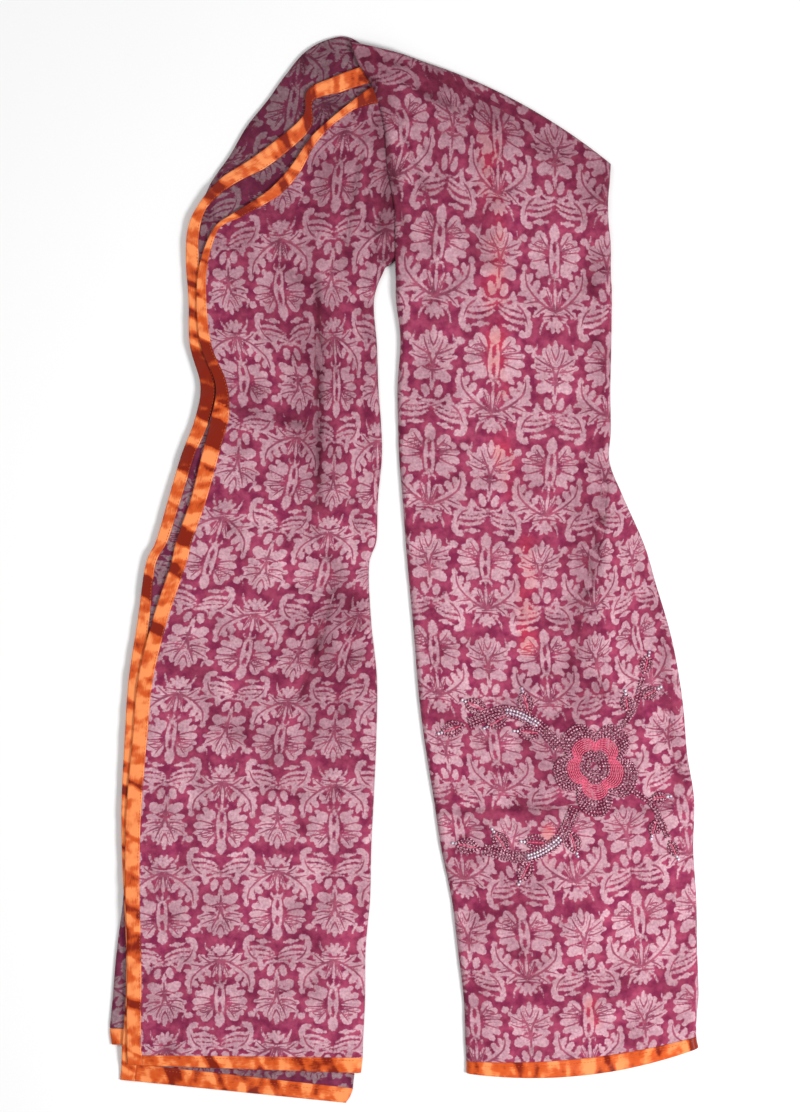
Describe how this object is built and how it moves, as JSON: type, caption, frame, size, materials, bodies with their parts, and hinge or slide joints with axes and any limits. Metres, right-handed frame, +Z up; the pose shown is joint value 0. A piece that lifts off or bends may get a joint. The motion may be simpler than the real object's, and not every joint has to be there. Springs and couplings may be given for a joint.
{
  "type": "scarf",
  "caption": "Long printed voile scarf with satin-bound edges and a sequin spray near one end, folded lengthwise and laid flat as an upside-down U.",
  "frame": {"origin": "middle of the scarf's outline on the surface it lies on", "axes": "+X towards the end with the sequins, +Y from the two ends towards the neck, +Z up from the surface"},
  "size_m": [0.6174, 1.1092, 0.0123],
  "materials": {
    "voile": "printed voile, right side",
    "voile_wrong_side": "printed voile, paler wrong side",
    "satin_ribbon": "satin",
    "sequin": "gloss",
    "embroidery_thread": "silky"
  },
  "bodies": {
    "root": {"left_front_cloth": "voile", "left_front_edge_ribbon": "satin_ribbon", "left_front_hem_ribbon": "satin_ribbon", "left_second_cloth": "voile_wrong_side", "left_second_edge_ribbon": "satin_ribbon", "left_second_hem_ribbon": "satin_ribbon", "left_under_layers": "voile", "left_under_hem_ribbon": "satin_ribbon", "right_front_cloth": "voile", "right_front_hem_ribbon": "satin_ribbon", "right_under_layers": "voile"}
  },
  "joints": []
}
